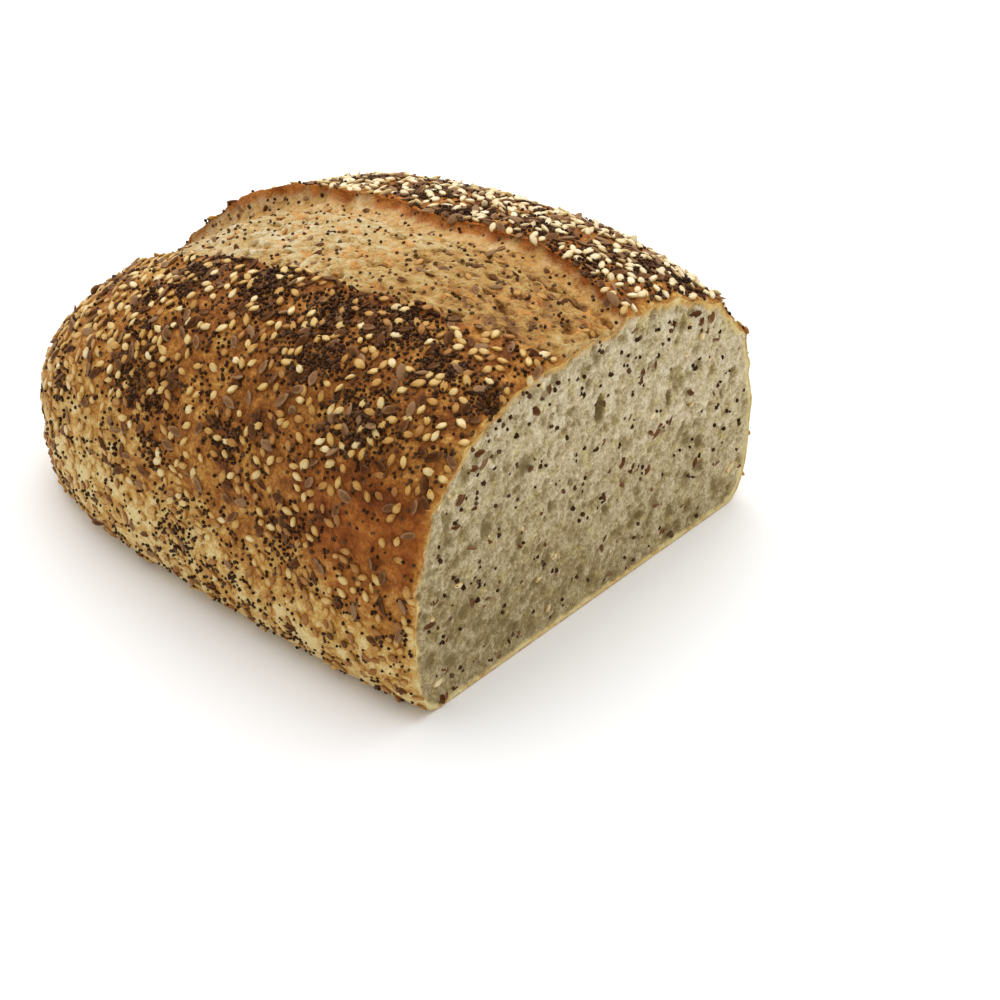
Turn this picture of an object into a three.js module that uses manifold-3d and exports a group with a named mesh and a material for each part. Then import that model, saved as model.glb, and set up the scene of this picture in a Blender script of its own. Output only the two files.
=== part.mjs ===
// Seeded bloomer loaf with its front end cut off, one baked piece with the seeds fused to its crust.
// Millimetres, +Z up. The loaf lies along X and stands on the XY plane, with its cut face at +X,
// its long scored top upwards and the side with the low lip of the score at -Y.
import * as THREE from "three";
import { MeshSurfaceSampler } from "three/addons/math/MeshSurfaceSampler.js";
import { mergeGeometries, mergeVertices } from "three/addons/utils/BufferGeometryUtils.js";
import Module from "manifold-3d";

// The loaf as it was baked. X is measured from the middle of that whole loaf.
const wholeLength = 188;
const wholeWidth = 129;
const crownHeight = 80.5; // at the middle of the length
const crownRise = 10.8; // gained from the middle to the front tip
const crownLean = 1.5; // the crown's shift towards +Y
const beltHeight = 17; // the level where the loaf is widest
const baseShare = 0.86; // width of the flat base over the width at the belt
const cutFromMiddle = 57;

// Powers of the rounded outlines: 2 is an ellipse, and more is squarer.
const planPower = 3.5;
const crownPower = 2.2;
const underPower = 7;
const underReach = 1.03; // over 1 keeps the base flat until close to the tip
const nearSide = { sign: -1, across: 2.7, up: 3.3 };
const farSide = { sign: 1, across: 2.15, up: 3 };
const underRound = 0.8; // power of the cosine that rounds the base's edge

// The score, cut along the top before baking. Widths are shares of the loaf's half width.
const score = {
  widestAt: -20,
  frontReach: 81,
  backReach: 74,
  least: { near: 0.09, far: 0.01 },
  most: { near: 0.355, far: 0.2 },
  frontPower: { near: 2, far: 5 },
  backPower: 2.4,
  nearStep: 0.8, // drop of the band below the near lip
  depth: 3, // of the gully along the far lip, below the plain crown
  wallFoot: 0.94, // where across the band the wall up to the ear begins
  edgeSlope: { least: 0.02, most: 0.05 }, // share of the band in which it drops from the near lip
  dig: { more: 1.3, from: -30, to: -76 }, // how much deeper it is towards the back
};

// The ear: the far lip, which curled up as the score opened.
const ear = { rim: 1.2, height: 2.7, highestAt: -68, spread: 32, width: 15, curl: 0.3 };

// Slow unevenness of the crust, as a share of the distance from the loaf's core line.
const lumps = [
  { share: 0.006, along: 31, round: 2.3, turn: 0.4 },
  { share: 0.004, along: 17, round: 4.1, turn: 1.9 },
  { share: 0.003, along: 11, round: 6.7, turn: 3.3 },
];

// Mesh steps.
const stations = 34;
const nearSteps = 13;
const farSteps = 12;
const underSteps = 4;
const earBunching = 1.3; // over 1 sets the far side's steps closer to the ear
const bandShares = [0, 0.12, 0.28, 0.44, 0.6, 0.75, 0.88, 1];
const baseSteps = 4;
const outlineSteps = 60; // points of the outline that the steps are spaced on

// Seeds in the crust: length, width and thickness, how deep they sit, and how far apart they keep.
const seedKinds = [
  { name: "flax", count: 86, length: 4.6, width: 2.3, thick: 1.2, taper: 0.3, draw: 11 },
  { name: "sesame", count: 94, length: 3.2, width: 2, thick: 1.1, taper: 0.45, draw: 23 },
];
const seedSunk = 0.38; // share of the thickness below the crust
const seedSpacing = 6.4;
const seedTries = 40000;
const clearOfCut = 4;
const clearOfLip = 3.5;
const clearOfBoard = 7;

// The largest gas cells that the cut opened in the crumb.
const gasCells = {
  count: 12,
  draw: 5,
  least: 1.6,
  most: 3.2,
  tallness: 1.7,
  spacing: 11,
  margin: 0.72, // how much of the face's half width and height they take up
  middleHeight: 39,
  halfHeight: 36,
};

const halfLength = wholeLength / 2;
const halfWidth = wholeWidth / 2;
const quarterTurn = Math.PI / 2;
const random = THREE.MathUtils.seededRandom;

// Height of a superellipse of this power, from 1 at the middle to 0 at its end.
function rounded(share, power) {
  return Math.max(0, 1 - Math.abs(share) ** power) ** (1 / power);
}

// Half width, rise above the belt and drop below it of the cross-section at x.
function sectionSize(x) {
  const share = x / halfLength;
  const crown = crownHeight + crownRise * share - beltHeight;
  return {
    wide: halfWidth * rounded(share, planPower),
    rise: crown * rounded(share, crownPower),
    drop: beltHeight * Math.min(1, underReach * rounded(share, underPower)),
  };
}

function lumpShare(x, angle) {
  let sum = 0;
  for (const lump of lumps) {
    sum += lump.share * Math.sin(x / lump.along + lump.turn) * Math.cos(lump.round * angle + lump.turn);
  }
  return sum;
}

// A point of the crust above the belt. The angle runs from 0 at the belt to a quarter turn at the crown.
function crownPoint(x, side, angle) {
  const size = sectionSize(x);
  const across = Math.cos(angle) ** (2 / side.across);
  const up = Math.sin(angle) ** (2 / side.up);
  const uneven = 1 + lumpShare(x, side.sign * (quarterTurn - angle)) * up;
  const y = side.sign * size.wide * across + crownLean * up * rounded(x / halfLength, crownPower);
  return new THREE.Vector2(y * uneven, beltHeight + size.rise * up * uneven);
}

// A point of the rounded edge below the belt, from 0 at the belt to a quarter turn at the base.
function underPoint(x, side, angle) {
  const size = sectionSize(x);
  const share = baseShare + (1 - baseShare) * Math.cos(angle) ** underRound;
  return new THREE.Vector2(side.sign * size.wide * share, beltHeight - size.drop * Math.sin(angle));
}

// How far the score is open at x, from 0 at its ends to 1 where it is widest.
function scoreOpening(x, frontPower) {
  const ahead = x > score.widestAt;
  const reach = ahead ? score.frontReach : score.backReach;
  const share = Math.min(1, Math.abs(x - score.widestAt) / reach);
  return rounded(share, ahead ? frontPower : score.backPower);
}

// Share of the half width at which a lip of the score lies.
function lipShare(x, lip) {
  return score.least[lip] + score.most[lip] * scoreOpening(x, score.frontPower[lip]);
}

function lipAngle(x, lip, side) {
  return Math.acos(lipShare(x, lip) ** (side.across / 2));
}

// Outline of one flank from a lip of the score down to the belt.
function flankPath(x, side, topAngle) {
  const points = [];
  for (let i = 0; i <= outlineSteps; i++) {
    points.push(crownPoint(x, side, topAngle * (1 - i / outlineSteps)));
  }
  return new THREE.Path(points);
}

// Plain crown from the near lip over to the far lip, before the score sinks into it.
function bandPath(x, nearAngle, farAngle) {
  const points = [];
  for (let i = 0; i <= outlineSteps; i++) {
    points.push(crownPoint(x, nearSide, nearAngle + (quarterTurn - nearAngle) * (i / outlineSteps)));
  }
  for (let i = 1; i <= outlineSteps; i++) {
    points.push(crownPoint(x, farSide, quarterTurn + (farAngle - quarterTurn) * (i / outlineSteps)));
  }
  return new THREE.Path(points);
}

// Depth of the score's floor below the plain crown, at a share of the way from the near lip to the wall.
function bandDepth(x, share) {
  const open = scoreOpening(x, score.frontPower.far);
  const deeper = 1 + score.dig.more * THREE.MathUtils.smoothstep(-x, -score.dig.from, -score.dig.to);
  return open * deeper * (score.nearStep + (score.depth - score.nearStep) * share * share);
}

// Height of the ear above the plain crown, at a distance outwards from its edge.
function earRise(x, distance) {
  const open = scoreOpening(x, score.frontPower.far);
  const bell = Math.exp(-(((x - ear.highestAt) / ear.spread) ** 2));
  const fade = Math.max(0, 1 - distance / ear.width);
  return open * (ear.rim + ear.height * bell) * fade * fade;
}

// One closed ring of the crust at x, from the near edge of the base over the top to the far edge and back.
function ringAt(x) {
  const nearAngle = lipAngle(x, "near", nearSide);
  const farAngle = lipAngle(x, "far", farSide);
  const near = flankPath(x, nearSide, nearAngle);
  const far = flankPath(x, farSide, farAngle);
  const band = bandPath(x, nearAngle, farAngle);
  const ring = [];
  for (let i = underSteps; i > 0; i--) {
    ring.push(underPoint(x, nearSide, (quarterTurn * i) / underSteps));
  }
  for (let i = nearSteps; i >= 0; i--) {
    ring.push(near.getPoint(i / nearSteps));
  }
  const bandStart = nearStepWidth(x);
  for (const share of bandShares) {
    const point = band.getPoint(bandStart + (score.wallFoot - bandStart) * share);
    point.y -= bandDepth(x, share);
    ring.push(point);
  }
  for (let i = 0; i <= farSteps; i++) {
    const share = (i / farSteps) ** earBunching;
    const point = far.getPoint(share);
    const lift = earRise(x, share * far.getLength());
    point.y += lift;
    point.x -= ear.curl * lift;
    ring.push(point);
  }
  for (let i = 1; i <= underSteps; i++) {
    ring.push(underPoint(x, farSide, (quarterTurn * i) / underSteps));
  }
  const lastFar = ring[ring.length - 1];
  for (let i = 1; i < baseSteps; i++) {
    ring.push(lastFar.clone().lerp(ring[0], i / baseSteps));
  }
  return ring;
}

// Share of the band's width that its low edge takes to fall below the near lip.
function nearStepWidth(x) {
  const { least, most } = score.edgeSlope;
  return least + (most - least) * scoreOpening(x, score.frontPower.near);
}

// X of each ring from the cut face back, closer together towards the rounded tip.
function stationPlace(i) {
  return cutFromMiddle - (cutFromMiddle + halfLength) * Math.sin((quarterTurn * i) / stations);
}

function crustGeometry() {
  const places = [];
  const faces = [];
  const rings = [];
  for (let i = 0; i < stations; i++) {
    const x = stationPlace(i);
    rings.push(ringAt(x).map((point) => places.push(x, point.x, point.y) / 3 - 1));
  }
  const around = rings[0].length;
  for (let i = 0; i + 1 < stations; i++) {
    for (let j = 0; j < around; j++) {
      const next = (j + 1) % around;
      const [a, b, c, d] = [rings[i][j], rings[i][next], rings[i + 1][next], rings[i + 1][j]];
      faces.push(a, b, c, a, c, d);
    }
  }
  const cutMiddle = places.push(cutFromMiddle, 0, gasCells.middleHeight) / 3 - 1;
  const tip = places.push(-halfLength, 0, beltHeight) / 3 - 1;
  const lastRing = rings[stations - 1];
  for (let j = 0; j < around; j++) {
    const next = (j + 1) % around;
    faces.push(cutMiddle, rings[0][next], rings[0][j]);
    faces.push(lastRing[j], lastRing[next], tip);
  }
  const geometry = new THREE.BufferGeometry();
  geometry.setAttribute("position", new THREE.Float32BufferAttribute(places, 3));
  geometry.setIndex(faces);
  return geometry;
}

// Seeds lie on the two seeded shoulders and flanks, off the score, the cut and the base.
function takesSeeds(place) {
  const wide = sectionSize(place.x).wide;
  const inScore =
    place.y > -wide * lipShare(place.x, "near") - clearOfLip &&
    place.y < wide * lipShare(place.x, "far") + clearOfLip &&
    place.z > beltHeight;
  return !inScore && place.x < cutFromMiddle - clearOfCut && place.z > clearOfBoard;
}

// One seed with its length along X, pointed at both ends and slimmer towards +X.
function seedGeometry(kind) {
  const seed = new THREE.SphereGeometry(1, 5, 3).rotateZ(-quarterTurn);
  const place = seed.getAttribute("position");
  for (let i = 0; i < place.count; i++) {
    const slim = 1 - kind.taper * place.getX(i);
    place.setXYZ(i, place.getX(i), place.getY(i) * slim, place.getZ(i) * slim);
  }
  return seed.scale(kind.length / 2, kind.width / 2, kind.thick / 2);
}

// Turns a seed flat on the crust at a random heading, partly sunk in.
function laidSeed(kind, place, normal) {
  const heading = new THREE.Quaternion().setFromAxisAngle(
    new THREE.Vector3(0, 0, 1),
    random() * 2 * Math.PI,
  );
  const lie = new THREE.Quaternion().setFromUnitVectors(new THREE.Vector3(0, 0, 1), normal);
  const middle = place.clone().addScaledVector(normal, kind.thick * (0.5 - seedSunk));
  const matrix = new THREE.Matrix4().compose(middle, lie.multiply(heading), new THREE.Vector3(1, 1, 1));
  return seedGeometry(kind).applyMatrix4(matrix);
}

// Seeds of every kind, the largest first, each keeping its distance from those laid before it.
function scatteredSeeds(crust) {
  const sampler = new MeshSurfaceSampler(new THREE.Mesh(crust)).setRandomGenerator(() => random()).build();
  const taken = [];
  const seeds = [];
  for (const kind of seedKinds) {
    random(kind.draw);
    let laid = 0;
    for (let i = 0; i < seedTries && laid < kind.count; i++) {
      const place = new THREE.Vector3();
      const normal = new THREE.Vector3();
      sampler.sample(place, normal);
      const crowded = taken.some((other) => other.distanceTo(place) < seedSpacing);
      if (!crowded && takesSeeds(place)) {
        taken.push(place);
        seeds.push(laidSeed(kind, place, normal));
        laid++;
      }
    }
  }
  return mergeGeometries(seeds);
}

// Egg-shaped hollows with their middles on the cut face.
function gasCellGeometry() {
  const taken = [];
  const cells = [];
  random(gasCells.draw);
  while (cells.length < gasCells.count) {
    const across = (2 * random() - 1) * gasCells.margin;
    const up = (2 * random() - 1) * gasCells.margin;
    const radius = gasCells.least + (gasCells.most - gasCells.least) * random() ** 2;
    const place = new THREE.Vector3(
      cutFromMiddle,
      across * halfWidth,
      gasCells.middleHeight + up * gasCells.halfHeight,
    );
    if (Math.hypot(across, up) > 1 || taken.some((other) => other.distanceTo(place) < gasCells.spacing)) {
      continue;
    }
    taken.push(place);
    const cell = new THREE.SphereGeometry(radius, 7, 5).scale(1, 1, gasCells.tallness);
    cells.push(cell.rotateX(random() - 0.5).translate(place.x, place.y, place.z));
  }
  return mergeGeometries(cells);
}

// A closed solid from a geometry, with its shared corners joined.
function solidFrom(wasm, geometry) {
  const bare = geometry.clone();
  bare.deleteAttribute("normal");
  bare.deleteAttribute("uv");
  const joined = mergeVertices(bare);
  return new wasm.Manifold(
    new wasm.Mesh({
      numProp: 3,
      vertProperties: joined.getAttribute("position").array,
      triVerts: new Uint32Array(joined.index.array),
    }),
  );
}

function geometryFrom(solid) {
  const mesh = solid.getMesh();
  const geometry = new THREE.BufferGeometry();
  geometry.setAttribute("position", new THREE.Float32BufferAttribute(mesh.vertProperties, 3));
  geometry.setIndex(Array.from(mesh.triVerts));
  const flat = geometry.toNonIndexed();
  flat.computeVertexNormals();
  return flat;
}

async function loafGeometry() {
  const wasm = await Module();
  wasm.setup();
  const crust = crustGeometry();
  const body = solidFrom(wasm, crust);
  const seeds = solidFrom(wasm, scatteredSeeds(crust));
  const cells = solidFrom(wasm, gasCellGeometry());
  return geometryFrom(body.add(seeds).subtract(cells));
}

function crustMaterial() {
  return new THREE.MeshStandardMaterial({ color: 0xa9703c, roughness: 0.75, metalness: 0 });
}

const loaf = new THREE.Mesh(await loafGeometry(), crustMaterial());
loaf.name = "loaf";
loaf.position.x = (halfLength - cutFromMiddle) / 2;

const bread = new THREE.Group();
bread.add(loaf);

export default bread;
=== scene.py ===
import math

import bpy
import numpy as np
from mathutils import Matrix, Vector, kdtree, noise


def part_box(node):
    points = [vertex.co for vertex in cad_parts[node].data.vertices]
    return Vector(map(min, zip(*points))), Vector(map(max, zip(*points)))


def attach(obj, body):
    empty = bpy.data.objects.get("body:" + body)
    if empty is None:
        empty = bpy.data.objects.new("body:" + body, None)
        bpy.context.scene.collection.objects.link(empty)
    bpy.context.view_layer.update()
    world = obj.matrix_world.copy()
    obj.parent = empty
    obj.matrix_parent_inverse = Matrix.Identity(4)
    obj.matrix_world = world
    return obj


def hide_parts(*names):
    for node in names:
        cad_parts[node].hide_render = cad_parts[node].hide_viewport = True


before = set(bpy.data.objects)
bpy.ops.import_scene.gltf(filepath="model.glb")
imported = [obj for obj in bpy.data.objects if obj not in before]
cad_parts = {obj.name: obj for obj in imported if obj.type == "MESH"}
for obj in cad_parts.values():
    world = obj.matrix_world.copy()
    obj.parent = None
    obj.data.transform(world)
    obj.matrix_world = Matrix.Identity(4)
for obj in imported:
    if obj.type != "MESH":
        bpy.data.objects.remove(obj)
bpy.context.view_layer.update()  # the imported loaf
bpy.ops.object.select_all(action="DESELECT")
print("frame loaded:", sorted(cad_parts))

mm = 0.001  # shapes are worked out in millimetres
quarter = math.pi / 2
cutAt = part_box("loaf")[1].x / mm  # the knife cut, along X


# the baked loaf before it was cut, measured to the skin under the seeds
loaf = dict(length=187.2, width=128.2, crown=80.1, crownRise=10.8, crownLean=1.5, belt=17,
            cutFromMiddle=57, baseShare=0.86, heart=0.45,
            planPower=3.5, crownPower=2.2, underPower=7, underReach=1.03, underRound=0.8,
            sagAt=-16, sagReach=34, sagEdge=0.2, dragReach=7, dragUp=0.3)
nearSide = dict(sign=-1, across=2.7, up=3.3, wider=1.0, sag=0.0, bulge=0.0)
farSide = dict(sign=1, across=2.2, up=3.0, wider=1.02, sag=1.6, bulge=0.05)
# slow swells of the crust: share of the size, step along, waves round, start
swells = [(0.006, 31, 2.3, 0.4), (0.004, 17, 4.1, 1.9), (0.003, 11, 6.7, 3.3)]
# unevenness of the skin at the cut: share of the size, waves round, start
drags = [(0.008, 17, 0.6), (0.006, 37, 2.9), (0.003, 71, 1.4)]
halfLength = loaf["length"] / 2
middle = cutAt - loaf["cutFromMiddle"]  # X of the whole loaf's middle

# the opened score along the top: lips at a share of the half width, and waver of the lips
score = dict(widestAt=-20, frontReach=81, backReach=74, backPower=2.4,
             nearLeast=0.09, nearMost=0.355, nearFront=2,
             farLeast=0.01, farMost=0.2, farFront=5,
             nearStep=0.8, depth=3, wallFoot=0.85, slopeLeast=0.02, slopeMost=0.05,
             digMore=0.4, digSpan=(30, 76), backDip=3.4, dipSpan=(44, 70), dipEase=0.6,
             waver=0.009, waves=[(4.3, 0.5, 1), (2.1, 2.2, 0.7), (1.2, 4.1, 0.4)],
             bulgeAt=2, bulgeReach=13)
# the raised lip on the far side of the score, and the strips under and behind its rim without seeds
ear = dict(rim=0.7, height=3.0, highestAt=-66, spreadAhead=32, spreadBehind=13, width=15,
           curl=0.3, recess=0.4, bendUp=0.2, bareUnder=(1, 4), bareBehind=(4, 7), bareRise=4)


def rounded(share, power):
    return np.maximum(0, 1 - np.abs(share) ** power) ** (1 / power)


def smoothStep(value, low, high):
    t = np.clip((value - low) / (high - low), 0, 1)
    return t * t * (3 - 2 * t)


def bell(value, at, reach):
    return np.exp(-((value - at) / reach) ** 2)


def sectionSize(s):  # s is measured from the whole loaf's middle
    share = s / halfLength
    wide = loaf["width"] / 2 * rounded(share, loaf["planPower"])
    crown = loaf["crown"] + loaf["crownRise"] * share - loaf["belt"]
    rise = crown * rounded(share, loaf["crownPower"])
    drop = loaf["belt"] * np.minimum(1, loaf["underReach"] * rounded(share, loaf["underPower"]))
    return wide, rise, drop


def crownPoint(s, side, angle):  # angle 0 at the belt, a quarter turn at the crown
    wide, rise, _ = sectionSize(s)
    across = np.cos(angle).clip(0) ** (2 / side["across"])
    up = np.sin(angle).clip(0) ** (2 / side["up"])
    turn = side["sign"] * (quarter - angle)
    swell = sum(a * np.sin(s / b + d) * np.cos(c * turn + d) for a, b, c, d in swells)
    drag = smoothStep(s, loaf["cutFromMiddle"] - loaf["dragReach"], loaf["cutFromMiddle"])
    drag = drag * sum(a * np.sin(b * turn + c) for a, b, c in drags)
    uneven = 1 + swell * up + drag * smoothStep(up, 0, loaf["dragUp"])
    lean = loaf["crownLean"] * up * rounded(s / halfLength, loaf["crownPower"])
    sag = side["sag"] * bell(s, loaf["sagAt"], loaf["sagReach"]) * smoothStep(across, 0, loaf["sagEdge"])
    y = side["sign"] * side["wider"] * wide * across + lean
    return np.stack([y * uneven, loaf["belt"] + (rise - sag) * up * uneven], axis=-1)


def underPoint(s, side, angle):  # angle 0 at the belt, a quarter turn at the base
    wide, _, drop = sectionSize(s)
    share = loaf["baseShare"] + (1 - loaf["baseShare"]) * np.cos(angle).clip(0) ** loaf["underRound"]
    y = side["sign"] * side["wider"] * wide * share
    return np.stack([y, loaf["belt"] - drop * np.sin(angle)], axis=-1)


def scoreOpen(s, frontPower):
    ahead = s > score["widestAt"]
    reach = np.where(ahead, score["frontReach"], score["backReach"])
    share = np.minimum(1, np.abs(s - score["widestAt"]) / reach)
    return np.where(ahead, rounded(share, frontPower), rounded(share, score["backPower"]))


def lipAngle(s, lip, side):
    waver = score["waver"] * sum(c * np.sin(s / a + b * side["sign"]) for a, b, c in score["waves"])
    most = score[lip + "Most"] + waver - side["bulge"] * bell(s, score["bulgeAt"], score["bulgeReach"])
    share = score[lip + "Least"] + most * scoreOpen(s, score[lip + "Front"])
    return np.arccos(share ** (side["across"] / 2))


def alongPath(path, shares):  # points at shares of each row's length
    steps = np.linalg.norm(np.diff(path, axis=1), axis=2)
    reach = np.concatenate([np.zeros((len(path), 1)), np.cumsum(steps, axis=1)], axis=1)
    shares = np.broadcast_to(shares, (len(path), np.shape(shares)[-1]))
    picked = np.empty(shares.shape + (2,))
    for row in range(len(path)):
        at = shares[row] * reach[row, -1]
        picked[row, :, 0] = np.interp(at, reach[row], path[row, :, 0])
        picked[row, :, 1] = np.interp(at, reach[row], path[row, :, 1])
    return picked, reach[:, -1:]


# faces round the loaf, from the middle of the base up the near side and back down the far side,
# how the rows are spaced outside and inside, and the skin's thickness and worn edges in mm
crust = dict(base=8, under=11, nearFlank=112, lip=4, band=112, wall=16, farFlank=88, samples=400,
             rows=244, rowSamples=4000, sideWeight=0.6,
             innerRows=10, innerFirst=0.03, innerFrom=0.12, innerStop=3, merge=0.002,
             thickness=1.8, edgeThickness=0.45, belowScore=3.5,
             lipSwell=0.5, lipEase=0.5, lipBrown=1.7, rimBrown=2.7)
baseZone, sideZone, bandZone, wallZone, innerZone = range(5)


def overRings(parts, rest, **given):  # a value for each point, given for some parts of the rings
    values = [np.broadcast_to(given.get(name, rest), part.shape[:2]) for name, part in parts.items()]
    return np.concatenate(values, axis=1)


def sectionRings(s):  # the outline at each s, and fields of its points
    s = np.asarray(s, float)[:, None]
    fine = smoothStep(np.linspace(0, 1, crust["samples"]), 0, 1)[None, :]
    nearTop, farTop = lipAngle(s, "near", nearSide), lipAngle(s, "far", farSide)
    openNear, openFar = scoreOpen(s, score["nearFront"]), scoreOpen(s, score["farFront"])

    angles = np.linspace(quarter, 0, crust["under"] + 1)[None, :]
    nearUnder, farUnder = underPoint(s, nearSide, angles), underPoint(s, farSide, angles)
    toEdge = np.linspace(0, 1, crust["base"] + 1)[None, :-1, None]
    nearBase, farBase = (under[:, :1] * toEdge * [1, 0] + under[:, :1] * [0, 1]
                         for under in (nearUnder, farUnder))

    nearShares = np.linspace(0, 1, crust["nearFlank"] + 1)
    farShares = np.linspace(0, 1, crust["farFlank"] + 1)
    nearFlank, nearLength = alongPath(crownPoint(s, nearSide, nearTop * fine), nearShares)
    farFlank, farLength = alongPath(crownPoint(s, farSide, farTop * fine), farShares)
    fromLip = (1 - nearShares)[None, :] * nearLength
    fromEar = (1 - farShares)[None, :] * farLength
    spread = np.where(s > ear["highestAt"], ear["spreadAhead"], ear["spreadBehind"])
    high = ear["rim"] + ear["height"] * bell(s, ear["highestAt"], spread)
    lift = openFar * high * np.maximum(0, 1 - fromEar / ear["width"]) ** 2
    farFlank = farFlank + lift[..., None] * [-ear["curl"], 1]

    # the torn band sinks from the near lip to the foot of the ear, more so towards the back
    crownNear = crownPoint(s, nearSide, nearTop + (quarter - nearTop) * fine)
    crownFar = crownPoint(s, farSide, quarter + (farTop - quarter) * fine)
    start = score["slopeLeast"] + (score["slopeMost"] - score["slopeLeast"]) * openNear
    bandShare = np.linspace(0, 1, crust["band"] + 1)[None, :]
    band, _ = alongPath(np.concatenate([crownNear, crownFar[:, 1:]], axis=1),
                        start + (score["wallFoot"] - start) * bandShare)
    deeper = 1 + score["digMore"] * smoothStep(-s, *score["digSpan"])
    sunk = deeper * (score["nearStep"] + (score["depth"] - score["nearStep"]) * bandShare ** 2)
    dip = score["backDip"] * smoothStep(-s, *score["dipSpan"]) * (1 - score["dipEase"] * bandShare)
    band[..., 1] -= openFar * (sunk + dip)

    lipShare = np.linspace(0, 1, crust["lip"] + 2)[None, 1:-1]
    lip = nearFlank[:, -1:] + (band[:, :1] - nearFlank[:, -1:]) * lipShare[..., None]
    lip[..., 1] += crust["lipSwell"] * openNear * np.sin(math.pi * lipShare)
    # the wall under the ear bends up from its foot to the rim
    foot, rim = band[:, -1:], farFlank[:, -1:]
    bendHeight = (1 - ear["bendUp"]) * foot[..., 1] + ear["bendUp"] * rim[..., 1]
    bend = np.stack([rim[..., 0] + ear["recess"] * openFar, bendHeight], axis=-1)
    t = np.linspace(0, 1, crust["wall"] + 2)[None, 1:-1, None]
    wall = foot * (1 - t) ** 2 + bend * 2 * t * (1 - t) + rim * t ** 2

    parts = dict(nearBase=nearBase, nearUnder=nearUnder, nearFlank=nearFlank[:, 1:], lip=lip, band=band,
                 wall=wall, farFlank=farFlank[:, ::-1], farUnder=farUnder[:, -2::-1],
                 farBase=farBase[:, ::-1])
    # closeness to the ear's rim, the bare strip along it, closeness to the near lip, place across the band
    underRim, behindRim = np.linalg.norm(wall - rim, axis=2), fromEar[:, ::-1]
    opened = np.minimum(1, ear["bareRise"] * openFar)
    fields = dict(
        earEdge=overRings(parts, 0.0, wall=bell(underRim, 0, crust["rimBrown"]) * openFar,
                          farFlank=bell(behindRim, 0, crust["rimBrown"]) * openFar),
        bareStrip=overRings(parts, 0.0, wall=(1 - smoothStep(underRim, *ear["bareUnder"])) * opened,
                            farFlank=(1 - smoothStep(behindRim, *ear["bareBehind"])) * opened),
        nearEdge=overRings(parts, 0.0, nearFlank=bell(fromLip[:, 1:], 0, crust["lipBrown"]) * openNear,
                           lip=(1 - crust["lipEase"] * lipShare) * openNear),
        acrossBand=overRings(parts, -1.0, band=bandShare),
        zone=overRings(parts, sideZone, nearBase=baseZone, band=bandZone, wall=wallZone, farBase=baseZone))
    return np.concatenate(list(parts.values()), axis=1), fields


def insetRings(rings, s, thick):  # moved in towards each section's middle
    wide, rise, _ = sectionSize(np.asarray(s, float)[:, None])
    centre = np.stack([wide * 0, loaf["heart"] * (loaf["belt"] + rise)], axis=-1)
    out = rings - centre
    far = np.linalg.norm(out, axis=2, keepdims=True)
    return centre + out * np.maximum(0.02, 1 - thick / np.maximum(far, 0.001))


def readPoints(mesh):
    points = np.empty(len(mesh.vertices) * 3)
    mesh.vertices.foreach_get("co", points)
    return points.reshape(-1, 3) / mm


def writePoints(mesh, points):
    mesh.vertices.foreach_set("co", (np.asarray(points) * mm).ravel())
    mesh.update()


def readNormals(mesh):
    normals = np.empty(len(mesh.vertices) * 3)
    mesh.vertices.foreach_get("normal", normals)
    return normals.reshape(-1, 3)


def readField(mesh, name):
    values = np.empty(len(mesh.vertices))
    mesh.attributes[name].data.foreach_get("value", values)
    return values


def writeField(mesh, name, values):
    field = mesh.attributes.get(name) or mesh.attributes.new(name, "FLOAT", "POINT")
    field.data.foreach_set("value", np.ascontiguousarray(values, np.float32).ravel())


def newGrid(name, columns, rows):  # a flat grid, with the column and row of each of its points
    bpy.ops.mesh.primitive_grid_add(x_subdivisions=columns, y_subdivisions=rows, size=1)
    piece = bpy.context.object
    piece.name = piece.data.name = name
    start = readPoints(piece.data) * mm
    column = np.rint((start[:, 0] + 0.5) * columns).astype(int)
    row = np.rint((start[:, 1] + 0.5) * rows).astype(int)
    return piece, column, row


def smoothOutside(piece):  # out of edit mode, with the faces outwards and shaded smooth
    bpy.ops.mesh.select_all(action="SELECT")
    bpy.ops.mesh.normals_make_consistent(inside=False)
    bpy.ops.object.mode_set(mode="OBJECT")
    bpy.ops.object.shade_smooth()
    piece.select_set(False)
    return piece


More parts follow.
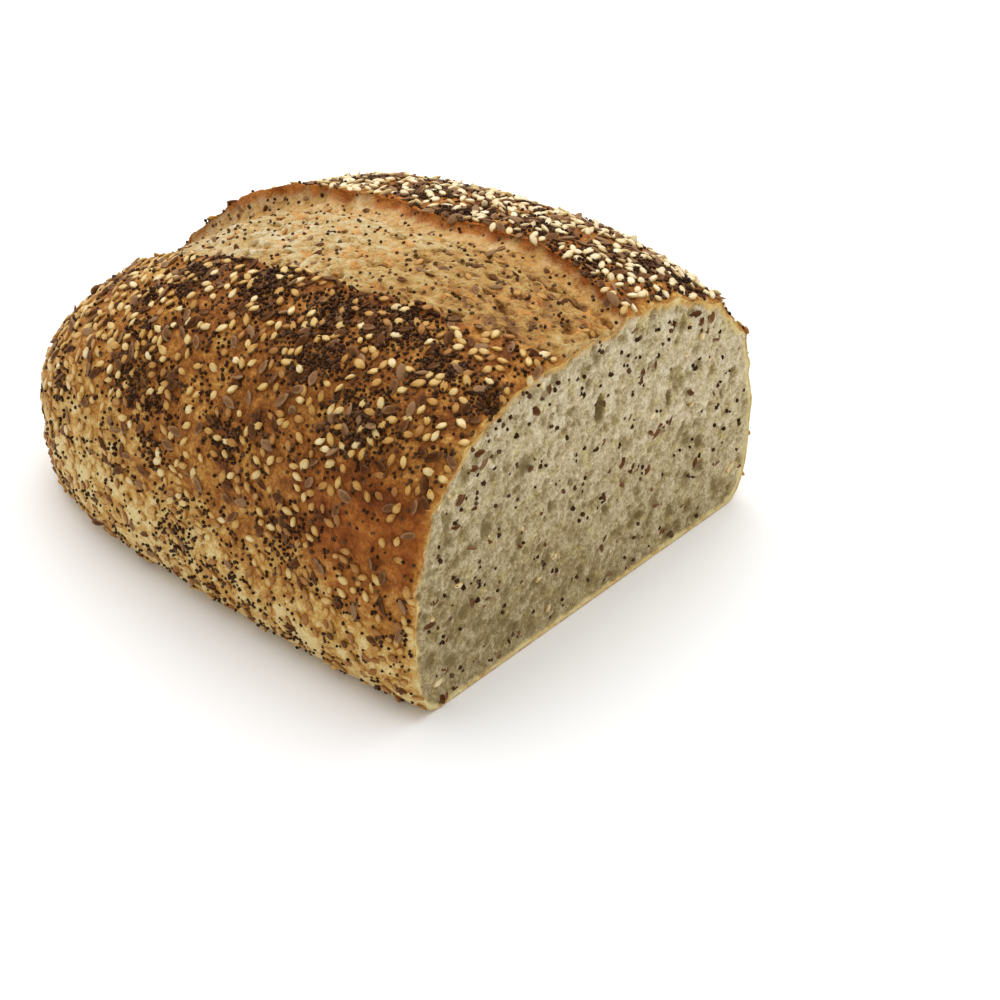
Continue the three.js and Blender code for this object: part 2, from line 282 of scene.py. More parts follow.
def shapeCrust():
    c = crust
    # rows at even steps of the way over the crown, from the round tip to the cut
    wholeWay = loaf["cutFromMiddle"] + halfLength
    fine = -halfLength + wholeWay * np.linspace(0, 1, c["rowSamples"]) ** 2
    wide, rise, _ = sectionSize(fine)
    steps = np.hypot(np.hypot(np.diff(fine), np.diff(rise)), np.diff(wide) * c["sideWeight"])
    way = np.concatenate([[0], np.cumsum(steps)])
    places = np.interp(np.linspace(0, way[-1], c["rows"] + 1), way, fine)
    outer, outerFields = sectionRings(places)

    # the inside runs from the cut back to a point near the tip, and keeps below the score
    sweep = np.sin(quarter * np.linspace(c["innerFrom"], 1, c["innerRows"] - 1))
    back = np.concatenate([[0, c["innerFirst"]], sweep])
    innerPlaces = loaf["cutFromMiddle"] - (wholeWay - c["innerStop"]) * back
    under, innerFields = sectionRings(np.maximum(-halfLength, innerPlaces - c["thickness"]))
    inner = insetRings(under, innerPlaces, c["thickness"])
    footColumn = c["base"] + c["under"] + 1 + c["nearFlank"] + c["lip"] + c["band"]
    ceiling = under[:, footColumn, 1] - c["belowScore"]
    inner[..., 1] = np.minimum(inner[..., 1], ceiling[:, None])
    inner[0] = insetRings(outer[-1:], places[-1:], c["edgeThickness"])[0]
    inner[-1] = inner[-1].mean(axis=0)
    innerFields["zone"][:] = innerZone

    rows, columns = len(outer) + len(inner), outer.shape[1]
    points = np.empty((rows, columns, 3))
    points[..., 0] = (np.concatenate([places, innerPlaces]) + middle)[:, None]
    points[..., 1:] = np.concatenate([outer, inner])
    skin, column, row = newGrid("crust", columns - 1, rows - 1)
    writePoints(skin.data, points[row, column])
    for name, field in outerFields.items():
        writeField(skin.data, name, np.concatenate([field, innerFields[name]])[row, column])
    bpy.ops.object.mode_set(mode="EDIT")
    bpy.ops.mesh.select_all(action="SELECT")
    bpy.ops.mesh.remove_doubles(threshold=c["merge"] * mm)
    return smoothOutside(skin)


def noiseAt(points, grain, shift=0.0):  # smooth noise from about -1 to 1, grain in mm
    return np.array([noise.noise(p) for p in (points / np.asarray(grain, float) + shift).tolist()])


def noiseSum(points, layers):  # layers of noise: share, grain, shift
    return sum(share * noiseAt(points, grain, shift) for share, grain, shift in layers)


def crestsAt(points, grain, shift):  # sharp crests at 1 between rounded hollows
    return 1 - 2 * np.abs(noiseAt(points, grain, shift))


def bubblesAt(points, grain, shift, reach=0.6):  # 1 in the middle of each bubble, 0 on the walls between
    spots = (points / np.asarray(grain, float) + shift).tolist()
    return np.array([max(0, 1 - noise.voronoi(p)[0][0] / reach) for p in spots])


# relief of the crust, heights and grains in mm: lumps, dimples and grit on the sides, crests and pits in
# the torn band, ragged lips, and how far from the cut and the foot the skin stays still
crustRelief = dict(side=[(0.36, 12, 0.0), (0.45, 4, 4.4), (0.3, 1.7, 9.2)],
                   slowTear=0.7, slowGrain=10, tear=0.8, tearGrain=3.8, thread=0.3, threadGrain=2.0,
                   crest=0.6, bandBlend=0.05, wallTorn=0.8,
                   pit=2.1, pitGrain=(4.5, 2.6, 3), pitFrom=0.42, pitTo=0.62,
                   pitsMore=0.2, pitsAlong=(0, 55), pitsAcross=(0.3, 0.7),
                   ragged=0.5, raggedNear=0.5, rags=[(1, (3.6, 30, 30), 7.7), (0.6, (1.5, 30, 30), 3.9)],
                   stillEdge=1.5, stillFoot=(0.3, 3.5))
# browning from 0 pale to 1 dark: pale up to a height, partly the crust's colour and partly painted floor
# bounce light, less so ahead and more so on the far side
browning = dict(pale=0.1, more=0.5, paleTo=38, lessAhead=12.5, aheadSpan=(-45, 60), moreFar=17,
                farSpan=(30, 50), below=18, above=20, crownLess=0.04, crownSpan=(58, 70),
                backLess=0.15, backSpan=(10, 35), backUp=(32, 48), backNear=(0, 20),
                blotches=[(0.16, 14, 3.1), (0.16, 5, 8.7), (0.12, 2.3, 5.1)])
redness = dict(least=0.8, more=0.5, grain=12, aheadSpan=(30, 58), nearSpan=(-10, 30),
               upFrom=(22, 40), upTo=(52, 66))
# browning of the torn band and of the wall under the ear, of both, of the base and at the cut
bandBrown = dict(pale=0.47, ahead=0.34, blotch=(0.18, 14, 10.4), crests=0.25)
wallBrown = dict(pale=0.4, ahead=0.2, blotch=(0.2, 5, 4.9), crests=0.15)
tornBrown = dict(aheadSpan=(5, 55), crest=0.55, threads=0.15, pits=0.5, lip=0.1, lipTo=0.1,
                 patches=[(1, 2.2, 6.1), (0.5, 8, 2.7)], patchFrom=(0.24, 0.48), bandPatch=0.7, wallPatch=0.4,
                 rimRag=0.9, rimFrom=(0.2, 0.65), rimLess=0.2, nearMore=0.05)
baseBrown = dict(pale=0.3, blotch=0.2, grain=14, upTo=(0.5, 4))
cutBrown = dict(less=0.45, lessRed=0.5, reach=2.6, ragged=1.2, grain=2.5)


def bakeAt(points):  # how brown the crust is
    x, y, z = points.T
    b = browning
    paleTo = b["paleTo"] - b["lessAhead"] * smoothStep(x, *b["aheadSpan"])
    paleTo = paleTo + b["moreFar"] * smoothStep(y, *b["farSpan"])
    bake = b["pale"] + b["more"] * smoothStep(z, paleTo - b["below"], paleTo + b["above"])
    bake -= b["crownLess"] * smoothStep(z, *b["crownSpan"])
    back = smoothStep(-x, *b["backSpan"])
    bake -= b["backLess"] * back * smoothStep(z, *b["backUp"]) * smoothStep(-y, *b["backNear"])
    return bake + noiseSum(points, b["blotches"])


def blushAt(points):  # the redder brown towards the cut, half way up
    x, y, z = points.T
    r = redness
    ahead = smoothStep(x, *r["aheadSpan"]) * smoothStep(-y, *r["nearSpan"])
    high = smoothStep(z, *r["upFrom"]) * (1 - smoothStep(z, *r["upTo"]))
    return ahead * high * (r["least"] + r["more"] * noiseAt(points, r["grain"], 5.5))


def reliefCrust(skin):
    mesh = skin.data
    points, normals = readPoints(mesh), readNormals(mesh)
    x, _, z = points.T
    zone, across = readField(mesh, "zone"), readField(mesh, "acrossBand")
    earEdge, nearEdge = readField(mesh, "earEdge"), readField(mesh, "nearEdge")
    onBand, onWall, outside = zone == bandZone, zone == wallZone, zone != innerZone
    r = crustRelief
    inBand = np.where(onBand, smoothStep(across, 0, r["bandBlend"]), 0)
    inBand = np.where(onWall, r["wallTorn"] * (1 - earEdge), inBand)
    side, slow = noiseSum(points, r["side"]), noiseAt(points, r["slowGrain"], 2.7)
    tear, thread = crestsAt(points, r["tearGrain"], 6.1), crestsAt(points, r["threadGrain"], 1.3)
    ahead = smoothStep(x, *r["pitsAlong"]) * smoothStep(across, *r["pitsAcross"])
    pit = smoothStep(noiseAt(points, r["pitGrain"], 12.9), r["pitFrom"] - r["pitsMore"] * ahead, r["pitTo"])
    pit *= onBand
    torn = r["slowTear"] * slow + r["tear"] * (tear - r["crest"])
    torn = torn + r["thread"] * (thread - r["crest"]) - r["pit"] * pit
    foot = np.where(zone == baseZone, 0, smoothStep(z, *r["stillFoot"]))
    still = smoothStep(cutAt - x, 0, r["stillEdge"]) * foot
    height = np.where(outside, still * (side * (1 - inBand) + torn * inBand), 0)
    rag = noiseSum(points, r["rags"])
    height += np.where(outside, still * r["ragged"] * rag * (earEdge + r["raggedNear"] * nearEdge), 0)
    writePoints(mesh, points + normals * height[:, None])

    # the torn band is pale, with browner patches on its crests and towards the cut
    b = tornBrown
    patch = smoothStep(noiseSum(points, b["patches"]), *b["patchFrom"])
    rim = smoothStep(earEdge * (1 + b["rimRag"] * rag), *b["rimFrom"])
    towardsCut = smoothStep(x, *b["aheadSpan"])
    bandBake, wallBake = (k["pale"] + k["ahead"] * towardsCut + noiseSum(points, [k["blotch"]])
                          - k["crests"] * (tear - b["crest"]) for k in (bandBrown, wallBrown))
    bandBake = bandBake - b["threads"] * (thread - b["crest"]) + b["pits"] * pit
    bandBake = bandBake + b["lip"] * (1 - smoothStep(across, 0, b["lipTo"]))
    bake = np.where(onWall, wallBake, np.where(onBand, bandBake, bakeAt(points)))
    bake = bake - b["rimLess"] * rim + b["nearMore"] * nearEdge
    onBase = (zone == baseZone) * (1 - smoothStep(z, *baseBrown["upTo"]))
    plain = baseBrown["pale"] + baseBrown["blotch"] * noiseAt(points, baseBrown["grain"], 1.1)
    bake += onBase * (plain - bake)
    # paler where the knife went through
    uneven = cutBrown["ragged"] * noiseAt(points, cutBrown["grain"], 7.1)
    atCut = smoothStep(x + uneven, cutAt - cutBrown["reach"], cutAt)
    bake *= 1 - cutBrown["less"] * atCut
    blush = np.clip(blushAt(points), 0, 1) * (1 - cutBrown["lessRed"] * atCut)
    writeField(mesh, "bake", np.clip(bake, 0, 1))
    writeField(mesh, "blush", np.maximum(np.where(zone == sideZone, blush, 0), rim))
    writeField(mesh, "patch", np.where(onBand, b["bandPatch"] * patch, b["wallPatch"] * onWall))
    writeField(mesh, "score", np.where(onBand | onWall, 1.0, 0.0))
    return normals


loafCrust = shapeCrust()
smoothNormals = reliefCrust(loafCrust)
print("crust:", len(loafCrust.data.polygons), "faces")


# the cut face: pores as y, z, half width, half height, depth in mm, then the finer holes, the shading of
# the holes and the painted shade low down, the toasted rim, and the steps back through the loaf
crumb = dict(across=330, up=236, inset=0.4, shoulder=0.66, draw=4,
             largest=[(3.1, 54, 2.0, 4.6, 2.6), (28.9, 44.2, 1.3, 3.2, 1.9), (41.7, 25.4, 2.0, 2.7, 1.6),
                      (19, 15.3, 2.0, 1.6, 1.3), (-1.1, 62.9, 1.5, 2.4, 0.9), (-36.3, 41.3, 2.4, 3.6, 1.1),
                      (-13.9, 35.6, 1.2, 2.0, 1.2), (-23.6, 51.3, 3.2, 3.0, 0.9), (54.1, 39.7, 1.6, 1.9, 1.0),
                      (-44, 22, 2.0, 2.6, 1.2), (6, 24, 1.5, 2.2, 1.2), (33, 62, 1.6, 2.0, 0.8)],
             largestWaver=0.3, largestEdge=1.2,
             medium=250, mediumSize=(0.7, 2.4), mediumDepth=(0.2, 0.8), mediumEdge=1.8, tallness=(0.8, 1.9),
             leanMost=0.3, waver=[(3.4, 0.7), (1.4, 0.35)],
             bubble=0.55, bubbleGrain=(2.3, 3.0, 2.3), froth=0.45, frothGrain=1.15, frothWobble=0.5,
             fluff=0.24, fluffGrain=0.8, wobble=0.8, wobbleGrain=2.2,
             loose=0.6, looseMore=0.9, looseGrain=7, looseRange=(0.1, 1.4),
             smoothPores=(0.2, 1.0), skin=0.7, setBack=0.1,
             fullPore=1.05, bubbleShade=0.55, frothShade=0.2,
             paintedShade=0.08, paintedShadeLow=0.48, paintedShadeLean=0.35, paintedShadeSpan=(-10, 66),
             wear=[(1, 4.5, 9.9), (0.6, 1.8, 2.2), (0.4, 0.8, 6.4)], highSpan=(50, 70),
             toast=0.05, toastByCrust=0.75, toastByWear=0.4, farLess=0.85, farSpan=(40, 58),
             rimFrom=0.1, rimTo=1.6, rimHigh=1.1, rimRag=0.8, rimRagHigh=0.9,
             bodySteps=[(-5, 0.94, 0.94), (-52, 1.02, 0.97), (-45, 0.97, 0.745), (-22, 0.88, 0.5),
                        (-12, 0.7, 0.34)], bodyCentre=30)


def evenEdge(line, count):
    steps = np.concatenate([[0], np.cumsum(np.linalg.norm(np.diff(line, axis=0), axis=1))])
    at = np.linspace(0, steps[-1], count + 1)
    return np.stack([np.interp(at, steps, line[:, k]) for k in (0, 1)], axis=1)


def cutOutline():
    s = np.array([loaf["cutFromMiddle"]])
    ring = insetRings(sectionRings(s)[0], s, crumb["inset"])[0]
    nearCorner = crust["base"]
    nearShoulder = nearCorner + crust["under"] + int(crumb["shoulder"] * crust["nearFlank"])
    farCorner = len(ring) - 1 - crust["base"]
    farShoulder = farCorner - crust["under"] - int(crumb["shoulder"] * crust["farFlank"])
    bottom = np.concatenate([ring[nearCorner::-1], ring[-1:farCorner - 1:-1]])
    left = ring[nearCorner:nearShoulder + 1]
    top = ring[nearShoulder:farShoulder + 1]
    right = ring[farShoulder:farCorner + 1][::-1]
    return bottom, top, left, right


def nearestTo(places, points):  # which place is nearest to each point, and how far it is
    tree = kdtree.KDTree(len(places))
    for i, p in enumerate(places):
        tree.insert(p, i)
    tree.balance()
    found = [tree.find(p) for p in points.tolist()]
    return np.array([f[1] for f in found]), np.array([f[2] for f in found])


def poreDepth(face, flat):  # dimples of the larger pores
    c = crumb
    rng = np.random.default_rng(c["draw"])
    waved = face.copy()
    for grain, far in c["waver"]:
        waved += far * np.column_stack([noiseAt(flat, grain, 1.7), noiseAt(flat, grain, 5.2)])
    steadier = (1 - c["largestWaver"]) * face + c["largestWaver"] * waved
    low, high = face.min(axis=0), face.max(axis=0)
    pores = list(c["largest"])
    for i in range(c["medium"]):
        y, z = rng.uniform(low, high)
        wide = rng.uniform(*c["mediumSize"])
        pores.append((y, z, wide, wide * rng.uniform(*c["tallness"]), rng.uniform(*c["mediumDepth"])))
    depth = np.zeros(len(face))
    for i, (y, z, wide, tall, deep) in enumerate(pores):
        large = i < len(c["largest"])  # the others have softer edges
        at, edge = (steadier, c["largestEdge"]) if large else (waved, c["mediumEdge"])
        near = np.flatnonzero((np.abs(at[:, 0] - y) < wide * 1.8) & (np.abs(at[:, 1] - z) < tall * 1.2))
        lean = rng.uniform(-c["leanMost"], c["leanMost"])
        across = (at[near, 0] - y - lean * (at[near, 1] - z)) / wide
        up = (at[near, 1] - z) / tall
        depth[near] = np.maximum(depth[near], deep * np.maximum(0, 1 - across ** 2 - up ** 2) ** edge)
    return depth


def shapeCrumb():
    c = crumb
    columns, rows = c["across"], c["up"]
    bottom, top, left, right = cutOutline()
    bottom, top = evenEdge(bottom, columns), evenEdge(top, columns)
    left, right = evenEdge(left, rows), evenEdge(right, rows)
    body, column, row = newGrid("crumb", columns, rows)
    u, v = (column / columns)[:, None], (row / rows)[:, None]
    face = (1 - v) * bottom[column] + v * top[column] + (1 - u) * left[row] + u * right[row] \
        - (1 - u) * (1 - v) * bottom[0] - u * (1 - v) * bottom[-1] - (1 - u) * v * top[0] - u * v * top[-1]

    # distance to the crust all round, and how brown that crust is
    rim = np.concatenate([bottom, top, left, right])
    flat = np.column_stack([face, np.zeros(len(face))])
    nearest, toCrust = nearestTo(np.column_stack([rim, np.zeros(len(rim))]), flat)
    rimBake = bakeAt(np.column_stack([np.full(len(rim), cutAt), rim]))[nearest]

    # pores, bubbles and froth, fading out at the crust
    pore = poreDepth(face, flat)
    wobble = c["wobble"] * np.column_stack([noiseAt(flat, c["wobbleGrain"], k) for k in (7.3, 4.6, 8.1)])
    loose = np.clip(c["loose"] + c["looseMore"] * noiseAt(flat, c["looseGrain"], 13.7), *c["looseRange"])
    closed = 1 - smoothStep(pore, *c["smoothPores"])  # the large pores are smooth inside
    bubble = bubblesAt(flat + wobble, c["bubbleGrain"], 2.9) * loose * closed
    froth = bubblesAt(flat + c["frothWobble"] * wobble, c["frothGrain"], 6.2) * closed
    fluff = c["fluff"] * noiseAt(flat, c["fluffGrain"], 3.3) * closed
    inside = smoothStep(toCrust, 0.0, c["skin"])
    depth = pore + c["bubble"] * bubble + c["froth"] * froth + fluff + c["setBack"]
    writePoints(body.data, np.column_stack([cutAt - inside * np.maximum(0, depth), face]))
    hollow = pore / c["fullPore"] + c["bubbleShade"] * bubble + c["frothShade"] * froth
    writeField(body.data, "hollow", np.clip(hollow, 0, 1) * inside)
    # painted shade, a little all over the face and more towards its bottom
    low = 1 - smoothStep(face[:, 1] + c["paintedShadeLean"] * face[:, 0], *c["paintedShadeSpan"])
    writeField(body.data, "paintedShade", c["paintedShade"] + c["paintedShadeLow"] * low)

    # the rim is browner and thicker at the top
    wear = noiseSum(flat, c["wear"])
    high = smoothStep(face[:, 1], *c["highSpan"])
    darkening = c["toast"] + c["toastByCrust"] * rimBake + c["toastByWear"] * wear
    darkening = darkening * (1 - c["farLess"] * smoothStep(face[:, 0], *c["farSpan"]))
    writeField(body.data, "toast", np.clip(darkening, 0, 1))
    ragged = toCrust + (c["rimRag"] + c["rimRagHigh"] * high) * wear
    writeField(body.data, "rim", 1 - smoothStep(ragged, c["rimFrom"], c["rimTo"] + c["rimHigh"] * high))

    # the crumb runs back through the loaf, inside the crust
    bpy.ops.object.mode_set(mode="EDIT")
    bpy.ops.mesh.select_all(action="DESELECT")
    bpy.ops.mesh.select_non_manifold()
    for back, wide, tall in c["bodySteps"]:
        bpy.ops.mesh.extrude_edges_move(TRANSFORM_OT_translate={"value": (back * mm, 0, 0)})
        bpy.ops.transform.resize(value=(1, wide, tall), center_override=(0, 0, c["bodyCentre"] * mm))
    bpy.ops.mesh.edge_face_add()
    return smoothOutside(body)


loafCrumb = shapeCrumb()
print("crumb:", len(loafCrumb.data.polygons), "faces")


# seeds: length, width, thickness in mm and how much they vary, the share sunk into the crust (more low
# down and in the band), how far apart they keep, how many to the square millimetre of each part of the
# crust, how they clump, and then how many show in the cut face, the share of those that lie beside
# another, how near to the rim, their size, depth and tilt there, and their tone
sesame = dict(size=(2.95, 1.72, 0.74), vary=0.08, tilt=0.2, tiltFar=0.15, gap=1.7, draw=21,
              sunk=0.05, sunkLow=0.4, sunkLeast=0.2, sunkFar=0.1, sunkBand=0.45,
              each=0.09, top=0.02, farTop=0.1, low=0, bareEnd=0.7, behind=0.35, band=0.004,
              clump=(0.9, 11, 22.5), clumpRange=(0.3, 2.2),
              toast=0.1, toastMore=0.9, toastSpread=(1.6, 2.0), paleAndLitFar=0.88, toastBack=0.2,
              backSpan=(10, 35), toastRed=0.35, toastLow=0.2, toastBand=0.7,
              inFace=28, paired=0, rimMost=0.1, faceSize=(0.7, 1.0), faceSunk=0.5, faceTilt=0.15,
              faceTone=(0.1, 0.25))
flax = dict(size=(4.1, 2.1, 0.85), vary=0.09, tilt=0.3, gap=2.2, draw=32,
            sunk=0.1, sunkLow=0.2, sunkBand=0.4, bandSize=0.75, paintedSheenFar=0.3,
            each=0.014, top=0.016, farTop=0.012, low=-0.004, bareEnd=0.5, behind=0,
            band=0.006, bandAhead=0.012, clump=(1.1, 9, 15.5), clumpRange=(0.15, 2.5),
            inFace=105, paired=0.15, rimMost=0.1, faceSize=(0.4, 0.92), faceSunk=0.4, faceTilt=0.35,
            faceTone=(0.1, 0.65), pieceDepth=0.3)
poppy = dict(size=(1.04, 0.95, 0.9), vary=0.1, tilt=0.6, gap=0.52, draw=43, clear=0.9,
             sunk=0.18, sunkLow=0.1, sunkBand=0.3, sunkVary=(-0.1, 0.2), bandSize=1.05, toneBand=0.3,
             each=0.55, top=0.4, farTop=0.1, low=0.2, bareEnd=0.6, behind=-0.35, band=0.05, bandClump=0.05,
             clumps=[(1, 7, 31.5), (0.5, 3, 3.5)], clumpFrom=(-0.3, 0.7), evenly=0.1, clumped=0.7,
             drift=3.7, driftLow=0.35, driftHigh=0.65, driftSpan=(45, 66), driftFar=0.3,
             heapFrom=0.6, heapClump=0.5, heap=(-0.6, 0.7),
             inFace=235, paired=0.5, rimMost=0.25, faceSize=(1.15, 1.5), faceSunk=0.3, faceTilt=0.6,
             faceTone=(0, 1))
# drifts of poppy seed: x, y, z, radius
poppyDrifts = [(28, -35, 77, 7), (32, -44, 73, 5.5), (4.5, -32, 75, 7), (-20, -33, 68, 6), (-18, -58, 52, 7),
               (-29, -40, 62, 4), (-46, -56, 38, 5), (-21, -49, 60, 3.5), (17, -60, 52, 5), (51, -51, 66, 7),
               (3, -64, 19, 6), (37, -63, 36, 6), (-7, -63, 40, 4), (-9, -60, 50, 4.5), (43, -30, 79, 7),
               (60, -33, 76, 5), (71, -32, 73, 4), (36, 24, 79, 6), (58, 17, 80, 5), (63, 28, 76, 6),
               (69, 37, 70, 6), (21, 18, 80, 6), (-1, 26, 75, 6), (-30, 30, 68, 7), (-62, 12, 44, 8),
               (10, 52, 60, 8), (45, 60, 40, 8), (-35, 58, 36, 8), (-66, -20, 30, 8), (20, 64, 22, 9)]
# pieces of flax seed that stand out in the cut face: y, z
flaxPieces = [(-20.2, 65.5), (-21, 49.7), (27, 37.2), (29.2, 52.2), (-14.8, 68.2), (-9.3, 37.5), (21.1, 27.5),
              (-24.7, 30.2), (6.2, 15.5), (11.7, 28.4), (40.1, 19.7), (23.4, 56.5), (18.9, 56.7)]
# all seeds in the cut face: how near to it they lie, how proud they stand, how far short of it the
# others stay, and how they keep out of holes, lie beside each other and vary in size
cutSeeds = dict(within=1.2, proud=0.9, shy=0.02, hollowMost=0.35, beside=5, vary=0.12)
# parts of the crust, as the spans over which one goes over into another
ground = dict(baseTo=3, bandFrom=0.3, top=(0.66, 0.88), low=(12, 32), farTop=(4, 16), ahead=(0, 50),
              endAlong=(44, 58), endFrom=(31, 40), endTo=(50, 60), endNear=(10, 40),
              behind=(10, 35), behindNear=(0, 20), foot=(0.6, 5), edge=(0.2, 1.0),
              rimBack=(20, 40), rimGrain=6, rimFrom=(-0.6, 0.1),
              lowFrom=15, lowTo=36, poppyLowTo=40, shoulder=(0, 20), shoulderUp=(45, 65),
              swellEdge=(0, 2), swellFoot=(1, 8))
# the skin swells round the larger seeds, browner there and with painted shade where it meets them, and swells
# more where it has closed over seeds
swelling = dict(reach=1.7, rise=0.2, darkening=0.2, even=0.4)
lump = dict(reach=1.2, rise=0.6, darkening=-0.12, even=0.4, each=0.03, low=0.05, bareEnd=0.08, gap=2.2)


def selectWhere(seed, test, kind="VERT"):  # points or edges, by the places of their ends
    bpy.ops.object.mode_set(mode="EDIT")
    bpy.ops.mesh.select_mode(type=kind)
    bpy.ops.mesh.select_all(action="DESELECT")
    bpy.ops.object.mode_set(mode="OBJECT")
    points = seed.data.vertices
    for item in (points if kind == "VERT" else seed.data.edges):
        ends = [item.index] if kind == "VERT" else item.vertices
        item.select = test(*(points[v].co for v in ends))
    bpy.ops.object.mode_set(mode="EDIT")


def takeMould(seed):  # the seed's points, faces and which points are on its rim
    points = np.array([v.co for v in seed.data.vertices])
    faces = [list(p.vertices) for p in seed.data.polygons]
    rim = np.abs(points[:, 2]) < 0.4
    bpy.data.objects.remove(seed)
    return points, faces, rim


def taperSeed(seed, tapers):  # narrowed along X past each place
    for past, narrow in tapers:
        selectWhere(seed, lambda co: co.x > past)
        bpy.ops.transform.resize(value=(1, narrow, narrow), center_override=(0, 0, 0))
        bpy.ops.object.mode_set(mode="OBJECT")


def modelSesame():  # a flat drop with a round edge
    bpy.ops.mesh.primitive_cylinder_add(vertices=10, radius=0.5, depth=1, end_fill_type="TRIFAN")
    seed = bpy.context.object
    selectWhere(seed, lambda a, b: a.z * b.z > 0 and min(a.xy.length, b.xy.length) > 0.4, "EDGE")
    bpy.ops.mesh.bevel(offset=0.17, segments=1)
    bpy.ops.object.mode_set(mode="OBJECT")
    selectWhere(seed, lambda co: co.xy.length < 0.1)
    bpy.ops.transform.resize(value=(1, 1, 1.15), center_override=(0, 0, 0))
    bpy.ops.object.mode_set(mode="OBJECT")
    taperSeed(seed, [(0.02, 0.9), (0.2, 0.8), (0.35, 0.72)])
    return takeMould(seed)


def modelFlax():  # a lens with one end more pointed
    bpy.ops.mesh.primitive_uv_sphere_add(segments=8, ring_count=8, radius=0.5, rotation=(0, quarter, 0))
    seed = bpy.context.object
    bpy.ops.object.transform_apply(location=False, rotation=True, scale=False)
    taperSeed(seed, [(0.1, 0.92), (0.3, 0.82), (0.42, 0.75)])
    return takeMould(seed)


def modelPoppy():  # a small kidney
    bpy.ops.mesh.primitive_ico_sphere_add(subdivisions=1, radius=0.5)
    seed = bpy.context.object
    selectWhere(seed, lambda co: co.y < -0.3)
    bpy.ops.transform.translate(value=(0, 0.12, 0))
    bpy.ops.object.mode_set(mode="OBJECT")
    return takeMould(seed)


def crustSpots():  # the crust's outer triangles, with their smooth normals
    mesh = loafCrust.data
    mesh.calc_loop_triangles()
    corners = np.empty(len(mesh.loop_triangles) * 3, int)
    mesh.loop_triangles.foreach_get("vertices", corners)
    corners = corners.reshape(-1, 3)
    zone = readField(mesh, "zone")[corners]
    points = readPoints(mesh)
    above = (zone != baseZone).any(axis=1) | (points[corners, 2] > ground["baseTo"]).all(axis=1)
    kept = (zone != innerZone).all(axis=1) & above
    corners = corners[kept]
    a, b, c = (points[corners[:, k]] for k in range(3))
    area = np.linalg.norm(np.cross(b - a, c - a), axis=1) / 2
    return dict(corners=corners, points=points, area=area, centre=(a + b + c) / 3,
                bare=readField(mesh, "bareStrip")[corners].mean(axis=1),
                onBand=readField(mesh, "score")[corners].mean(axis=1) > ground["bandFrom"],
                onWall=(zone[kept] == wallZone).any(axis=1))


def scatter(spots, density, rng):  # random places, so many to the square millimetre
    count = rng.poisson(np.maximum(0, density) * spots["area"])
    which = np.repeat(np.arange(len(count)), count)
    rng.shuffle(which)
    share = rng.dirichlet((1, 1, 1), len(which))
    corners = spots["corners"][which]
    place = np.einsum("nk,nkc->nc", share, spots["points"][corners])
    normal = np.einsum("nk,nkc->nc", share, smoothNormals[corners])
    return place, normal / np.linalg.norm(normal, axis=1, keepdims=True), which


def keepApart(place, gap, taken=()):  # indices of places no nearer than gap to one before
    cells = {}
    for p in taken:
        cells.setdefault(tuple(np.floor(p / gap).astype(int)), []).append(p)
    kept = []
    around = [(i, j, k) for i in (-1, 0, 1) for j in (-1, 0, 1) for k in (-1, 0, 1)]
    for index, p in enumerate(place):
        a, b, c = np.floor(p / gap).astype(int)
        close = [q for i, j, k in around for q in cells.get((a + i, b + j, c + k), ())]
        if close and (np.sum((np.array(close) - p) ** 2, axis=1) < gap * gap).any():
            continue
        cells.setdefault((a, b, c), []).append(p)
        kept.append(index)
    return np.array(kept, int)


def seedAxes(normal, rng, tilt):  # lengthwise, sideways and upward directions of each seed
    count = len(normal)
    up = normal + rng.normal(0, tilt, (count, 3))
    up /= np.linalg.norm(up, axis=1, keepdims=True)
    along = np.cross(up, rng.normal(0, 1, (count, 3)))
    along /= np.linalg.norm(along, axis=1, keepdims=True)
    return np.stack([along, np.cross(up, along), up], axis=1)


def seedSizes(kind, count, rng, vary):  # the whole seed varies, and each way a little more
    whole = rng.normal(1, vary, (count, 1)).clip(0.75, 1.25)
    return np.array(kind["size"]) * whole * rng.normal(1, vary * 0.7, (count, 3)).clip(0.8, 1.2)


def joinSeeds(name, mould, *groups):  # groups of place, axes, size and tone, made one mesh
    points, faces, rim = mould
    place, axes, size, tone = (np.concatenate(each) for each in zip(*groups))
    count, each = len(place), len(points)
    spread = place[:, None, :] + np.einsum("nvi,nij->nvj", points[None] * size[:, None, :], axes)
    inCut = place[:, :1] > cutAt - cutSeeds["within"]  # these stand proud
    spread[..., 0] = np.minimum(spread[..., 0], cutAt + np.where(inCut, cutSeeds["proud"], -cutSeeds["shy"]))
    spread[..., 2] = np.maximum(spread[..., 2], 0.0)
    allFaces = [[v + each * i for v in face] for i in range(count) for face in faces]
    mesh = bpy.data.meshes.new(name)
    mesh.from_pydata((spread.reshape(-1, 3) * mm).tolist(), [], allFaces)
    writeField(mesh, "tone", np.repeat(tone, each))
    writeField(mesh, "rim", np.tile(rim, count))
    piece = bpy.data.objects.new(name, mesh)
    bpy.context.scene.collection.objects.link(piece)
    bpy.context.view_layer.objects.active = piece
    piece.select_set(True)
    bpy.ops.object.shade_smooth()
    piece.select_set(False)
    return piece


